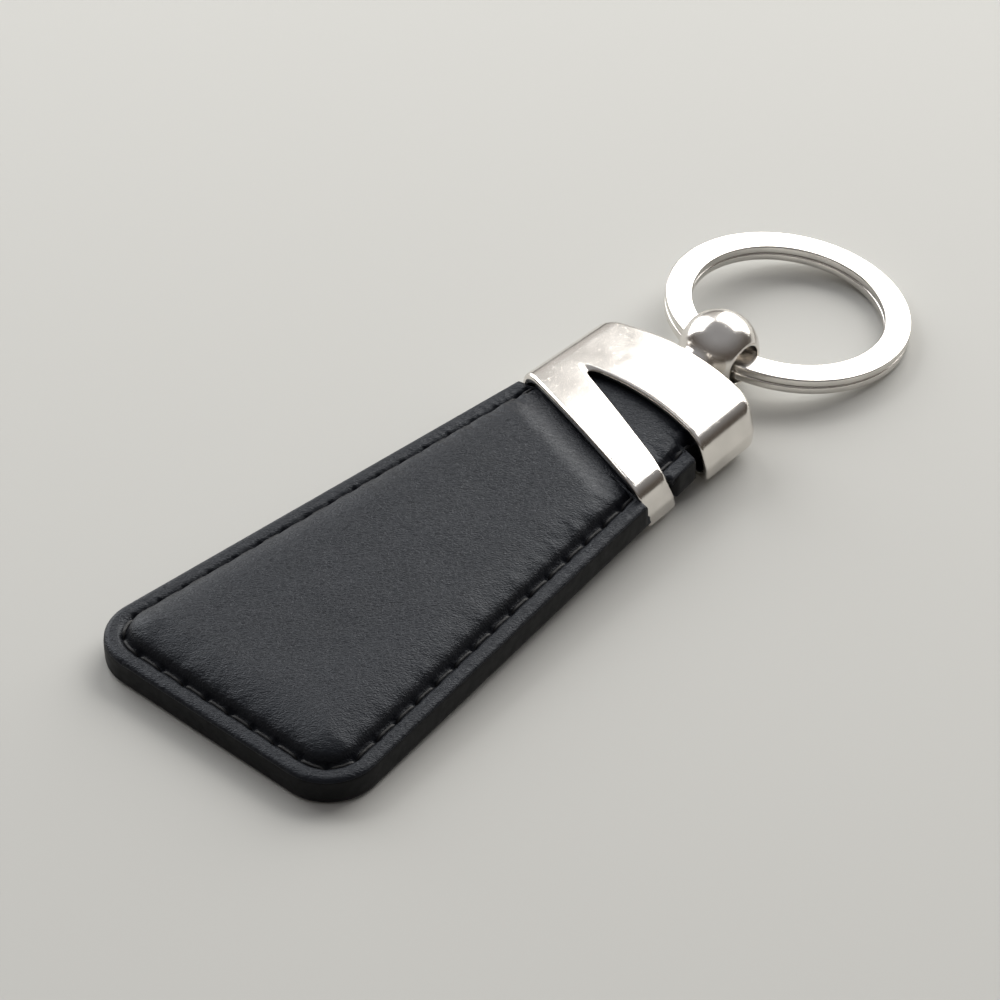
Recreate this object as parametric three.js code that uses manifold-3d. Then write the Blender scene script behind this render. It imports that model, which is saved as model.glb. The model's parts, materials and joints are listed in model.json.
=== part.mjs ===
// A padded leather key fob with a metal end cap, a swivelling ball link and a flat split ring.
// Millimetres, +Z up. The fob lies on its back: +X runs from its wide end to the split ring.
import * as THREE from "three";
import { mergeVertices } from "three/addons/utils/BufferGeometryUtils.js";
import Module from "manifold-3d";

const wasm = await Module();
wasm.setup();

// Leather body. x is measured from the wide end, z from the middle of the leather's thickness.
const WIDE_HALF = 20.2;
const TAPER = 0.1143;
const CORNER_RADIUS = 6.2;
const LEATHER = 1.2;
const BOARD = 1.1;
const LAYER_GAP = 0.05;
const FLANGE_TOP = BOARD / 2 + LAYER_GAP + LEATHER;
const TONGUE_ROOT_HALF = 10.9;
const TONGUE_END_HALF = 10.1;
const TONGUE_END = 75.4;
const NEAR_SHOULDER = 56.4;
const FAR_SHOULDER = 64.0;
const SHOULDER_RUN = 1.0;
const SLOT_EAR_HALF = 12.4;
const UPPER_EAR_FROM = 64.0;
const BOARD_EAR_FROM = 64.4;
const LOWER_EAR_FROM = 64.9;
const SLOT_EAR_TO = 68.2;

// The back is flat along its middle and eases up a little towards its sewn edges.
const BACK_FLAT = 5;
const BACK_EASE = 0.018;

// The back is skived thinner where it goes into the cap.
const SKIVE = 0.2;
const SKIVE_AHEAD = 0.8;

// Crown over the foam pad, inside the sewn border.
const STITCH_INSET = 2.3;
const CROWN_INSET = 2.8;
const CROWN_HEIGHT = 2.0;
const CROWN_RUN = 5.5;
const CROWN_END = 73.6;
const CROWN_STEPS = 6;
const CROWN_STATIONS = 18;
const CAPPED_CROWN = 0.42;
const DIP_RUN = 4.5;
const PAD_GAP = 0.08;

// Thread.
const THREAD_RADIUS = 0.24;
const NEEDLE_SINK = 0.15;
const BOBBIN_SINK = 0.34;
const GROOVE_RADIUS = 0.4;
const THREAD_MARGIN = 0.9;
const THREAD_END = 72.5;
const THREAD_STEPS = 76;

// End cap.
const CAP_HALF = 12.5;
const CAP_FLARE = 0.038;
const CAP_TOP = 4.0;
const CAP_BOTTOM = 3.6;
const CAP_WALL = 0.9;
const CAP_CREASE = -0.7;
const CAP_REAR = 80.6;
const CAP_REAR_RADIUS = 38;
const CAP_CORNER = 1.3;
const END_WALL = 3.0;
const FRONT_FAR = new THREE.Vector2(65.2, 12.3);
const FRONT_SLOPE = 0.315;
const LEG_LEAN = 1.9;
const REAR_LEAN = 1.0;
const SLOT_APEX = new THREE.Vector2(69.7, 6.4);
const SLOT_FRONT_SLOPE = 0.384;
const SLOT_ROUND = 0.62;
const REAR_BAND_FRONT = 70.7;
const REAR_BAND_RADIUS = 38;

// Pins through the back of the cap into the leather.
const CAP_PIN_RADIUS = 0.8;
const CAP_PIN_X = 73.4;
const CAP_PIN_Y = 7.5;
const CAP_PIN_TIP = -0.7;
const PIN_RECESS = 0.3;
const PIN_CLEARANCE = 0.1;

// Swivel.
const BALL_RADIUS = 4.85;
const BALL_X = 86.2;
const BORE_RADIUS = 2.5;
const BORE_MOUTH = 2.7;
const NECK_RADIUS = 2.3;
const NECK_START = CAP_REAR + 0.15;
const SHANK_RADIUS = 1.3;
const SHANK_TIP = BALL_X - 2.9;
const SHANK_HEAD_RADIUS = 2.3;
const SHANK_HEAD = 1.0;
const WASHER_RADIUS = 2.7;
const WASHER = 0.5;
const RUNNING_GAP = 0.06;
const AXIAL_GAP = 0.1;

// Split ring: one flat strip wound twice.
const RING_OUTER = 15.0;
const STRIP_WIDTH = 3.2;
const STRIP_THICK = 1.0;
const COIL_GAP = 0.06;
const CROSSOVER = THREE.MathUtils.degToRad(26);
const RING_REACH = 13.1;
const RING_DROP = 0.45;
const RING_ROLL = THREE.MathUtils.degToRad(4.75);
const RING_STEPS = 72;

const ARC_STEPS = 9;
const ROUND_SIDES = 32;

const black = (name) => material(name, 0x17181b, 0.55, 0.0);
const nickel = (name) => material(name, 0xd6d0c8, 0.22, 1.0);

function material(name, color, roughness, metalness) {
  return new THREE.MeshStandardMaterial({ name, color, roughness, metalness });
}

// ---- solids -------------------------------------------------------------------------------

function toSolid(geometry) {
  const bare = geometry.clone();
  bare.deleteAttribute("normal");
  bare.deleteAttribute("uv");
  const merged = mergeVertices(bare, 1e-4);
  return new wasm.Manifold(
    new wasm.Mesh({
      numProp: 3,
      vertProperties: merged.attributes.position.array,
      triVerts: new Uint32Array(merged.index.array),
    }),
  );
}

function toGeometry(solid) {
  const mesh = solid.getMesh();
  const geometry = new THREE.BufferGeometry();
  geometry.setAttribute("position", new THREE.BufferAttribute(mesh.vertProperties, 3));
  geometry.setIndex(new THREE.BufferAttribute(mesh.triVerts, 1));
  geometry.computeVertexNormals();
  return geometry;
}

function cut(geometry, ...cutters) {
  return toGeometry(cutters.reduce((solid, c) => solid.subtract(toSolid(c)), toSolid(geometry)));
}

function join(a, b) {
  return toGeometry(toSolid(a).add(toSolid(b)));
}

function keep(a, b) {
  return toGeometry(toSolid(a).intersect(toSolid(b)));
}

function plate(outline, low, high) {
  const settings = { depth: high - low, bevelEnabled: false, curveSegments: 8 };
  return new THREE.ExtrudeGeometry(new THREE.Shape(outline), settings).translate(0, 0, low);
}

// A stack of outlines with equal point counts, each at its own height, closed at both ends.
// A folded outline runs out along one side and back along the other, and closes in cross strips.
function stack(layers, folded = false) {
  const count = layers[0].points.length;
  const position = [];
  const index = [];
  for (const layer of layers) {
    for (const p of layer.points) position.push(p.x, p.y, layer.z);
  }
  for (let k = 0; k + 1 < layers.length; k++) {
    for (let i = 0; i < count; i++) {
      const a = k * count + i;
      const b = k * count + ((i + 1) % count);
      index.push(a, b, b + count, a, b + count, a + count);
    }
  }
  const strips = [];
  for (let i = 0; i + 1 < count / 2; i++) {
    strips.push([i, i + 1, count - 2 - i], [i, count - 2 - i, count - 1 - i]);
  }
  const top = (layers.length - 1) * count;
  const close = (points) => (folded ? strips : THREE.ShapeUtils.triangulateShape(points, []));
  for (const [a, b, c] of close(layers[0].points)) index.push(c, b, a);
  for (const [a, b, c] of close(layers.at(-1).points)) index.push(top + a, top + b, top + c);
  const geometry = new THREE.BufferGeometry();
  geometry.setAttribute("position", new THREE.Float32BufferAttribute(position, 3));
  geometry.setIndex(index);
  return geometry;
}

function rodX(radius, from, to) {
  const rod = new THREE.CylinderGeometry(radius, radius, to - from, ROUND_SIDES);
  return rod.rotateZ(-Math.PI / 2).translate((from + to) / 2, 0, 0);
}

function rodZ(radius, x, y, from, to) {
  const rod = new THREE.CylinderGeometry(radius, radius, to - from, ROUND_SIDES);
  return rod.rotateX(Math.PI / 2).translate(x, y, (from + to) / 2);
}

// ---- leather outline ----------------------------------------------------------------------

// One side and corner of the fob at an inset from its edge, from the side's end to the wide end.
// side is +1 for the far side and -1 for the near side.
function sidePoints(inset, side, end, stations = 1) {
  const slant = Math.hypot(1, TAPER);
  const radius = Math.max(CORNER_RADIUS - inset, 0.6);
  const centreX = inset + radius;
  const centreY = WIDE_HALF - TAPER * centreX - (inset + radius) * slant;
  const from = Math.PI / 2 - Math.atan(TAPER);
  const cornerX = centreX + radius * Math.cos(from);
  const points = [];
  for (let i = 0; i < stations; i++) {
    const x = THREE.MathUtils.lerp(end, cornerX, i / stations);
    points.push(new THREE.Vector2(x, side * (WIDE_HALF - TAPER * x - inset * slant)));
  }
  for (let i = 0; i <= ARC_STEPS; i++) {
    const angle = THREE.MathUtils.lerp(from, Math.PI, i / ARC_STEPS);
    const x = centreX + radius * Math.cos(angle);
    points.push(new THREE.Vector2(x, side * (centreY + radius * Math.sin(angle))));
  }
  return points;
}

function borderLoop(inset, end) {
  const far = sidePoints(inset, 1, end, CROWN_STATIONS);
  return [...far, ...sidePoints(inset, -1, end, CROWN_STATIONS).reverse()];
}

function tongueHalf(x) {
  const along = (x - NEAR_SHOULDER) / (TONGUE_END - NEAR_SHOULDER);
  return THREE.MathUtils.lerp(TONGUE_ROOT_HALF, TONGUE_END_HALF, along);
}

// The fob's outline: on the near side the leather swells out again inside the cap's slot.
function leatherOutline(earFrom) {
  const far = sidePoints(0, 1, FAR_SHOULDER);
  const near = sidePoints(0, -1, NEAR_SHOULDER).reverse();
  const beside = (x, side) => new THREE.Vector2(x, side * tongueHalf(x));
  const tongue = [
    beside(NEAR_SHOULDER + SHOULDER_RUN, -1),
    beside(earFrom - 0.4, -1),
    new THREE.Vector2(earFrom, -SLOT_EAR_HALF),
    new THREE.Vector2(SLOT_EAR_TO, -SLOT_EAR_HALF + 0.3),
    beside(SLOT_EAR_TO + 0.4, -1),
    beside(TONGUE_END, -1),
    beside(TONGUE_END, 1),
    beside(FAR_SHOULDER + SHOULDER_RUN, 1),
  ];
  return [...far, ...near, ...tongue];
}

function capFrontAt(y) {
  return FRONT_FAR.x - FRONT_SLOPE * (FRONT_FAR.y - y);
}

// The crown stands at its full height over the fob and is pressed down where it enters the cap.
function crownShare(x, y) {
  const into = (x - (capFrontAt(y) - 1 - DIP_RUN)) / DIP_RUN;
  return THREE.MathUtils.lerp(1, CAPPED_CROWN, THREE.MathUtils.smoothstep(into, 0, 1));
}

// A crowned solid: straight sides from base up to floor, then a rounded shoulder up to height.
function crownSolid(inset, base, floor, height) {
  const end = CROWN_END - (inset - CROWN_INSET);
  const layers = base < floor ? [{ points: borderLoop(inset, end), z: base }] : [];
  for (let k = 0; k <= CROWN_STEPS; k++) {
    const angle = (Math.PI / 2) * (k / CROWN_STEPS);
    const more = CROWN_RUN * (1 - Math.cos(angle));
    const z = floor + height * Math.sin(angle);
    layers.push({ points: borderLoop(inset + more, end - 0.2 * k), z });
  }
  const solid = stack(layers, true);
  const p = solid.attributes.position;
  for (let i = 0; i < p.count; i++) {
    const rise = p.getZ(i) - floor;
    if (rise > 0) p.setZ(i, floor + rise * crownShare(p.getX(i), p.getY(i)));
  }
  return solid;
}

// ---- thread -------------------------------------------------------------------------------

// The line of stitches. Past the cap's mouth it keeps a margin from the narrowed leather's edge.
function strand(radius, z) {
  const line = (side, mouth) => {
    return sidePoints(STITCH_INSET, side, THREAD_END, 10).map((p) => {
      const most = p.x > mouth ? tongueHalf(p.x) - THREAD_MARGIN : Infinity;
      return new THREE.Vector3(p.x, side * Math.min(side * p.y, most), z);
    });
  };
  const points = [...line(1, FAR_SHOULDER), ...line(-1, NEAR_SHOULDER).reverse()];
  const path = new THREE.CurvePath();
  for (let i = 0; i + 1 < points.length; i++) {
    path.add(new THREE.LineCurve3(points[i], points[i + 1]));
  }
  const section = new THREE.Shape();
  section.absarc(0, 0, radius, 0, 2 * Math.PI);
  const route = new THREE.CatmullRomCurve3(path.getSpacedPoints(THREAD_STEPS), false, "centripetal");
  return new THREE.ExtrudeGeometry(section, { steps: THREAD_STEPS, extrudePath: route, curveSegments: 4 });
}

// ---- leather pieces -----------------------------------------------------------------------

function upperLeather() {
  const flange = plate(leatherOutline(UPPER_EAR_FROM), FLANGE_TOP - LEATHER, FLANGE_TOP);
  const crown = crownSolid(CROWN_INSET, FLANGE_TOP - LEATHER / 2, FLANGE_TOP, CROWN_HEIGHT);
  const hollow = crownSolid(CROWN_INSET + LEATHER, 0, FLANGE_TOP - LEATHER, CROWN_HEIGHT);
  return cut(join(flange, crown), hollow, strand(GROOVE_RADIUS, FLANGE_TOP - NEEDLE_SINK));
}

function crownPad() {
  const base = FLANGE_TOP - LEATHER;
  return crownSolid(CROWN_INSET + LEATHER + PAD_GAP, base, base, CROWN_HEIGHT - PAD_GAP);
}

function board() {
  const holes = [-1, 1].map((s) => capPinHole(s));
  return cut(plate(leatherOutline(BOARD_EAR_FROM), -BOARD / 2, BOARD / 2), ...holes);
}

function backSection() {
  const reach = WIDE_HALF + 2;
  const low = -FLANGE_TOP;
  const edge = low + BACK_EASE * (reach - BACK_FLAT);
  const corners = [[-reach, 0], [-reach, edge], [-BACK_FLAT, low], [BACK_FLAT, low], [reach, edge], [reach, 0]];
  return new THREE.Shape(corners.map(([y, z]) => new THREE.Vector2(y, z)));
}

function skiveCut() {
  const clear = WIDE_HALF + 2;
  const corners = [
    new THREE.Vector2(capFrontAt(-clear) - SKIVE_AHEAD, -clear),
    new THREE.Vector2(TONGUE_END + 1, -clear),
    new THREE.Vector2(TONGUE_END + 1, clear),
    new THREE.Vector2(capFrontAt(clear) - SKIVE_AHEAD, clear),
  ];
  return plate(corners, -FLANGE_TOP - 1, -FLANGE_TOP + SKIVE);
}

function lowerLeather() {
  const blank = plate(leatherOutline(LOWER_EAR_FROM), -FLANGE_TOP - 1, -FLANGE_TOP + LEATHER);
  const sheet = keep(blank, barX(backSection(), -1, TONGUE_END + 1));
  const holes = [-1, 1].map((s) => capPinHole(s));
  return cut(sheet, skiveCut(), strand(GROOVE_RADIUS, -FLANGE_TOP + BOBBIN_SINK), ...holes);
}

// ---- end cap ------------------------------------------------------------------------------

// The cap's section across the fob: low crowns above and below, sides that lean out to a crease,
// and a softer shoulder above than below. Each shoulder is given as [y, z] in from its corner.
function capSection(inset) {
  const half = CAP_HALF - inset;
  const shoulder = {
    above: { foot: [0.95, 1.5], bend: [1.15, 0.5], head: [2.4, 0.4] },
    below: { foot: [0.45, 0.9], bend: [0.5, 0.42], head: [1.4, 0.4] },
  };
  const section = new THREE.Shape();
  section.moveTo(half, CAP_CREASE);
  for (const s of [1, -1]) {
    const reach = (s > 0 ? CAP_TOP : CAP_BOTTOM) - inset;
    const { foot, bend, head } = s > 0 ? shoulder.above : shoulder.below;
    const at = ([y, z], side) => [side * (half - y), s * (reach - z)];
    section.lineTo(...at(foot, s));
    section.quadraticCurveTo(...at(bend, s), ...at(head, s));
    section.quadraticCurveTo(0, s * (reach + 0.4), ...at(head, -s));
    section.quadraticCurveTo(...at(bend, -s), ...at(foot, -s));
    section.lineTo(-s * half, CAP_CREASE);
  }
  return section;
}

function barX(section, from, to) {
  const bar = new THREE.ExtrudeGeometry(section, { depth: to - from, bevelEnabled: false, curveSegments: 6 });
  const turn = new THREE.Matrix4().makeBasis(
    new THREE.Vector3(0, 1, 0),
    new THREE.Vector3(0, 0, 1),
    new THREE.Vector3(1, 0, 0),
  );
  return bar.applyMatrix4(turn).translate(from, 0, 0);
}

// A bar with the cap's section, a little wider towards the front.
function capBar(section, from, to) {
  const bar = barX(section, from, to);
  const p = bar.attributes.position;
  for (let i = 0; i < p.count; i++) {
    const half = CAP_HALF + CAP_FLARE * (CAP_REAR - p.getX(i));
    p.setY(i, (p.getY(i) * half) / CAP_HALF);
  }
  return bar;
}

// The cap seen from above: slanted front edge, bowed rear face with rounded corners.
function capPlan() {
  const clear = CAP_HALF + 3;
  const rear = new THREE.Shape();
  const centre = CAP_REAR - CAP_REAR_RADIUS;
  const edgeX = (y) => centre + Math.sqrt(CAP_REAR_RADIUS ** 2 - y ** 2);
  const bow = Math.asin((CAP_HALF - CAP_CORNER) / CAP_REAR_RADIUS);
  const cornerX = edgeX(CAP_HALF - CAP_CORNER) - CAP_CORNER;
  rear.moveTo(capFrontAt(-clear) - LEG_LEAN, -clear);
  rear.lineTo(cornerX, -clear);
  rear.lineTo(cornerX, -CAP_HALF);
  rear.absarc(cornerX, -CAP_HALF + CAP_CORNER, CAP_CORNER, -Math.PI / 2, -bow);
  rear.absarc(centre, 0, CAP_REAR_RADIUS, -bow, bow);
  rear.absarc(cornerX, CAP_HALF - CAP_CORNER, CAP_CORNER, bow, Math.PI / 2);
  rear.lineTo(cornerX, clear);
  rear.lineTo(capFrontAt(clear) - LEG_LEAN, clear);
  return rear.extractPoints(12).shape;
}

// What is cut away in front of the slanted edge. The near leg leans back towards its foot.
function frontCut() {
  const clear = CAP_HALF + 3;
  const shape = (lean) => [
    new THREE.Vector2(capFrontAt(-clear) - 20, -clear),
    new THREE.Vector2(capFrontAt(-clear) + lean, -clear),
    new THREE.Vector2(capFrontAt(0) + lean * 0.2, 0),
    new THREE.Vector2(capFrontAt(clear), clear),
    new THREE.Vector2(capFrontAt(-clear) - 20, clear),
  ];
  return stack([
    { points: shape(LEG_LEAN * 1.2), z: -CAP_TOP - 1 },
    { points: shape(0), z: CAP_TOP + 1 },
  ]);
}

// The V slot: a straight front side, a bowed rear side and a small round apex.
function slotCut() {
  const clear = CAP_HALF + 3;
  const bowCentre = REAR_BAND_FRONT - REAR_BAND_RADIUS;
  const bowX = (y) => bowCentre + Math.sqrt(REAR_BAND_RADIUS ** 2 - y ** 2);
  const shape = (frontLean, rearLean) => {
    const near = (y) => THREE.MathUtils.clamp(-y / CAP_HALF, 0, 1);
    const frontX = (y) => SLOT_APEX.x - SLOT_FRONT_SLOPE * (SLOT_APEX.y - y) + frontLean * near(y);
    const points = [new THREE.Vector2(frontX(-clear), -clear)];
    for (const y of [-clear, -9, -6, -3, 0, 3]) points.push(new THREE.Vector2(bowX(y) + rearLean * near(y), y));
    for (let i = 0; i <= 6; i++) {
      const angle = THREE.MathUtils.lerp(0, Math.PI, i / 6);
      const x = SLOT_APEX.x + 0.5 + SLOT_ROUND * Math.cos(angle);
      points.push(new THREE.Vector2(x, SLOT_APEX.y - SLOT_ROUND + SLOT_ROUND * Math.sin(angle)));
    }
    return [...points, new THREE.Vector2(frontX(0), 0)];
  };
  return stack([
    { points: shape(LEG_LEAN * 1.2, REAR_LEAN), z: -CAP_TOP - 1 },
    { points: shape(0, 0), z: CAP_TOP + 1 },
  ]);
}

function capPinHole(side) {
  return rodZ(CAP_PIN_RADIUS + PIN_CLEARANCE, CAP_PIN_X, side * CAP_PIN_Y, -CAP_TOP - 1, CAP_PIN_TIP + 0.3);
}

function capPin(side) {
  const foot = -CAP_BOTTOM + PIN_RECESS;
  return rodZ(CAP_PIN_RADIUS, CAP_PIN_X, side * CAP_PIN_Y, foot, CAP_PIN_TIP);
}

function endCap() {
  const block = capBar(capSection(0), NEAR_SHOULDER - 6, CAP_REAR + 1);
  const shaped = keep(block, plate(capPlan(), -CAP_TOP - 2, CAP_TOP + 2));
  const pocket = capBar(capSection(CAP_WALL), NEAR_SHOULDER - 8, CAP_REAR - END_WALL);
  const swivelHole = rodX(SHANK_RADIUS + RUNNING_GAP, CAP_REAR - END_WALL - 1, CAP_REAR + 1);
  const holes = [-1, 1].map((s) => capPinHole(s));
  return cut(shaped, pocket, frontCut(), slotCut(), swivelHole, ...holes);
}

// ---- swivel -------------------------------------------------------------------------------

function turned(profile, sides) {
  return new THREE.LatheGeometry(profile.map(([r, h]) => new THREE.Vector2(r, h)), sides);
}

function ballLink() {
  const meet = Math.asin(NECK_RADIUS / BALL_RADIUS);
  const profile = [[0, NECK_START - BALL_X], [NECK_RADIUS, NECK_START - BALL_X]];
  const steps = 22;
  for (let i = 0; i <= steps; i++) {
    const angle = THREE.MathUtils.lerp(meet, Math.PI, i / steps);
    const radius = i === steps ? 0 : BALL_RADIUS * Math.sin(angle);
    profile.push([radius, -BALL_RADIUS * Math.cos(angle)]);
  }
  const ball = turned(profile, 40).rotateZ(-Math.PI / 2);
  const flare = BORE_MOUTH - BORE_RADIUS;
  const bore = turned([
    [0, -BALL_RADIUS - 1],
    [BORE_MOUTH, -BALL_RADIUS - 1],
    [BORE_MOUTH, -BALL_RADIUS + 1],
    [BORE_RADIUS, -BALL_RADIUS + 1 + flare],
    [BORE_RADIUS, BALL_RADIUS - 1 - flare],
    [BORE_MOUTH, BALL_RADIUS - 1],
    [BORE_MOUTH, BALL_RADIUS + 1],
    [0, BALL_RADIUS + 1],
  ], 36);
  const socket = rodX(SHANK_RADIUS + 0.02, NECK_START - BALL_X - 1, SHANK_TIP - BALL_X + 0.1);
  return cut(ball, bore, socket).translate(BALL_X, 0, 0);
}

function swivelPin() {
  const face = CAP_REAR - END_WALL - AXIAL_GAP - WASHER - AXIAL_GAP;
  const profile = [
    [0, face - SHANK_HEAD],
    [SHANK_HEAD_RADIUS, face - SHANK_HEAD],
    [SHANK_HEAD_RADIUS, face],
    [SHANK_RADIUS, face],
    [SHANK_RADIUS, SHANK_TIP],
    [0, SHANK_TIP],
  ];
  return turned(profile, ROUND_SIDES).rotateZ(-Math.PI / 2);
}

function swivelWasher() {
  const face = CAP_REAR - END_WALL - AXIAL_GAP;
  const hole = SHANK_RADIUS + RUNNING_GAP;
  const profile = [
    [hole, face - WASHER],
    [WASHER_RADIUS, face - WASHER],
    [WASHER_RADIUS, face],
    [hole, face],
    [hole, face - WASHER],
  ];
  return turned(profile, ROUND_SIDES).rotateZ(-Math.PI / 2);
}

// ---- split ring ---------------------------------------------------------------------------

// The strip runs once round at the lower level, crosses up over a short arc inside the ball's
// bore, and runs round again at the upper level. Angles are counted from the crossover's middle.
function splitRing() {
  const level = (STRIP_THICK + COIL_GAP) / 2;
  const rise = (turn) => {
    const across = (turn - (2 * Math.PI - CROSSOVER / 2)) / CROSSOVER;
    return THREE.MathUtils.lerp(-level, level, THREE.MathUtils.smoothstep(across, 0, 1));
  };
  const start = CROSSOVER / 2;
  const sweep = 4 * Math.PI - CROSSOVER;
  const steps = 2 * RING_STEPS;
  const position = [];
  const index = [];
  for (let i = 0; i <= steps; i++) {
    const turn = start + (sweep * i) / steps;
    const z = rise(turn);
    const corners = [
      [RING_OUTER, z - STRIP_THICK / 2],
      [RING_OUTER, z + STRIP_THICK / 2],
      [RING_OUTER - STRIP_WIDTH, z + STRIP_THICK / 2],
      [RING_OUTER - STRIP_WIDTH, z - STRIP_THICK / 2],
    ];
    for (const [r, h] of corners) {
      position.push(RING_REACH - r * Math.cos(turn), -r * Math.sin(turn), h - RING_DROP);
    }
  }
  for (let i = 0; i < steps; i++) {
    for (let c = 0; c < 4; c++) {
      const a = 4 * i + c;
      const b = 4 * i + ((c + 1) % 4);
      index.push(a, a + 4, b + 4, a, b + 4, b);
    }
  }
  const last = 4 * steps;
  index.push(0, 1, 2, 0, 2, 3, last + 2, last + 1, last, last + 3, last + 2, last);
  const geometry = new THREE.BufferGeometry();
  geometry.setAttribute("position", new THREE.Float32BufferAttribute(position, 3));
  geometry.setIndex(index);
  geometry.computeVertexNormals();
  return geometry;
}

// ---- assembly -----------------------------------------------------------------------------

function mesh(name, geometry, look) {
  const made = new THREE.Mesh(geometry, look);
  made.name = name;
  return made;
}

const fob = new THREE.Group();
fob.add(
  mesh("upper_leather", upperLeather(), black("upper leather")),
  mesh("crown_pad", crownPad(), material("foam pad", 0x8a8a86, 0.95, 0)),
  mesh("stiffener_board", board(), material("stiffener board", 0x2a2825, 0.9, 0)),
  mesh("lower_leather", lowerLeather(), black("lower leather")),
  mesh("needle_thread", strand(THREAD_RADIUS, FLANGE_TOP - NEEDLE_SINK), black("needle thread")),
  mesh("bobbin_thread", strand(THREAD_RADIUS, -FLANGE_TOP + BOBBIN_SINK), black("bobbin thread")),
  mesh("end_cap", endCap(), nickel("cap nickel")),
  mesh("cap_pin_near", capPin(-1), nickel("near pin nickel")),
  mesh("cap_pin_far", capPin(1), nickel("far pin nickel")),
);

const swivel = new THREE.Group();
swivel.add(
  mesh("ball_link", ballLink(), nickel("ball nickel")),
  mesh("swivel_pin", swivelPin(), nickel("swivel pin steel")),
  mesh("swivel_washer", swivelWasher(), nickel("swivel washer steel")),
);

const ring = new THREE.Group();
ring.add(mesh("split_ring", splitRing(), nickel("ring nickel")));

// Lying on a flat surface, the fob touches it with the back edge of its wide end and the ball.
const tilt = Math.asin(BALL_RADIUS / Math.hypot(BALL_X, FLANGE_TOP)) - Math.atan2(FLANGE_TOP, BALL_X);
fob.rotation.y = -tilt;
fob.position.z = FLANGE_TOP * Math.cos(tilt);

// The swivel has rolled a little, and the split ring hangs from it until it meets the surface.
swivel.rotation.set(RING_ROLL, 0, 0);
fob.add(swivel);

function ringTurn(swing) {
  const turns = [new THREE.Matrix4().makeRotationX(RING_ROLL), new THREE.Matrix4().makeRotationY(swing)];
  return turns.reduce((made, turn) => made.multiply(turn), new THREE.Matrix4().makeRotationY(-tilt));
}

function ringLowest(swing) {
  const e = ringTurn(swing).elements;
  const under = RING_DROP + STRIP_THICK + COIL_GAP / 2;
  return BALL_RADIUS + RING_REACH * e[2] - RING_OUTER * Math.hypot(e[2], e[6]) - under * e[10];
}

let [level, folded] = [0, Math.PI / 4];
for (let i = 0; i < 50; i++) {
  const between = (level + folded) / 2;
  [level, folded] = ringLowest(between) > 0 ? [between, folded] : [level, between];
}
ring.rotation.setFromRotationMatrix(ringTurn(level));
ring.position.set(BALL_X * Math.cos(tilt), 0, BALL_RADIUS);

const keyFob = new THREE.Group();
keyFob.add(fob, ring);
const box = new THREE.Box3().setFromObject(keyFob, true);
const middle = (box.min.x + box.max.x) / 2;
fob.position.x -= middle;
ring.position.x -= middle;

export default keyFob;
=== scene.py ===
import json
import math

import bpy
import numpy as np
from mathutils import Matrix, Vector


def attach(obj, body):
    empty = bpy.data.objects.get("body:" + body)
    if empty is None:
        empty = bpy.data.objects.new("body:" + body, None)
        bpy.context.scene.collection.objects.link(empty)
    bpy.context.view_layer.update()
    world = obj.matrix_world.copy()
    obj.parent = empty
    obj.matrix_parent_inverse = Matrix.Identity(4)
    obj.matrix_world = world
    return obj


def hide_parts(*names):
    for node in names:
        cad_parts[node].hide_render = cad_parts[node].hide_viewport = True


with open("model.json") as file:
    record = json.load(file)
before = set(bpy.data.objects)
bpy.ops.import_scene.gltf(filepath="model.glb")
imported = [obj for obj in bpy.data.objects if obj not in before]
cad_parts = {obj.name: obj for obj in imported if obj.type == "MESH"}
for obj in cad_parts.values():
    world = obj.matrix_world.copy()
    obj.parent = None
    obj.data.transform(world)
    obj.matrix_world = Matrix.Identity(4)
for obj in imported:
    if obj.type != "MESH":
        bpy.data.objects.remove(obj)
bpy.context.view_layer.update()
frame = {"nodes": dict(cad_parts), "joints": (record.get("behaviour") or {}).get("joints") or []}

# A padded leather key fob with a nickel end cap, a ball link and a flat split ring. Shapes are
# worked out in millimetres in the fob's own straight frame: x from the wide end towards the ring,
# y across, z up from the middle of the leather. placement() lays them where the joints say.

MM = 0.001

# ---- driving dimensions, millimetres --------------------------------------------------------

WIDE_HALF = 20.2
TAPER = 0.1143
CORNER = 6.2
FLANGE = 1.8
BOARD_HALF = 0.58
UPPER_LEAN = 0.45
BOARD_LEAN = 1.0
LOWER_LEAN = 1.3

# Inside the cap the leather is a narrow tongue, with an ear on the near side that fills the slot.
# Each step and each ear's side is given by where it starts and where it ends along the fob.
TONGUE_END = 75.2
TONGUE_ROOT_HALF = 10.9
TONGUE_END_HALF = 10.1
UNCUT_HALF = 99
FAR_STEP = (64.2, 65.0)
NEAR_STEP = (57.0, 57.6)
EAR_FRONT = (62.4, 62.8)
EAR_REAR = (67.9, 68.4)
EAR_HALVES = (10.6, 12.75, 12.3, 10.4)

CROWN_INSET = 2.75
CROWN_RUN = 5.6
CROWN_HEIGHT = 2.0
CAPPED_CROWN = 0.46
DIP_RUN = 4.2

# Small relief of the leather. Pairs are a height along the whole fob and what the cap end adds.
SWELL = 0.07
GATHER = (0.07, 0.10)
RIDGE = (0.012, 0.10)
CRINKLE = (0.022, 0.035)
BORDER_WAVE = 0.05
BACK_WAVE = 0.02
FRONT_ROLL = (0.55, 0.8)
BACK_ROLL = (0.45, 0.7)
INNER_EDGE = [(0.05, 1.18), (0.12, 1.05), (0.12, BOARD_HALF)]

STITCH_INSET = 2.3
STITCH_PITCH = 3.55
STITCH_DEPTH = 0.46
BACK_STITCH_DEPTH = 0.24
THREAD = 0.25
THREAD_LAY = 2.4
THREAD_DIVE = 0.75
NEEDLE_LEVEL = FLANGE - 0.38
BOBBIN_LEVEL = FLANGE - 0.28

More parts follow.
